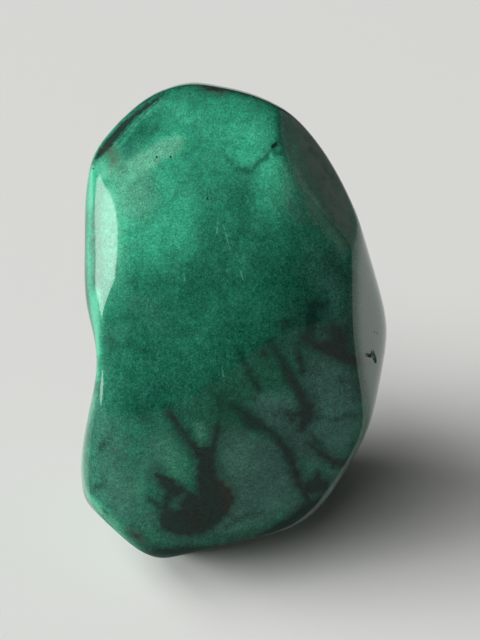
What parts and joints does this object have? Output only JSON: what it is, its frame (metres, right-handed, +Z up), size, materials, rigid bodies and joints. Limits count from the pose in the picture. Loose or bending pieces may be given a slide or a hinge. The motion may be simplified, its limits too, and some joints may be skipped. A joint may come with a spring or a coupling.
{
  "type": "polished malachite stone",
  "caption": "Polished malachite stone, a tall tumbled pebble with soft flats, a few sharper ground ones and a waist, standing on a small ground flat.",
  "frame": {"origin": "on the ground, under the middle of the stone's box", "axes": "+Z up, the stone's long way; +X to the right of the side in the picture, +Y away from that side"},
  "size_m": [0.0254, 0.0278, 0.041],
  "materials": {
    "malachite": "polished green malachite with pale cloudy patches and dark branching veins towards the foot"
  },
  "bodies": {
    "root": {"stone": "malachite"}
  },
  "joints": []
}
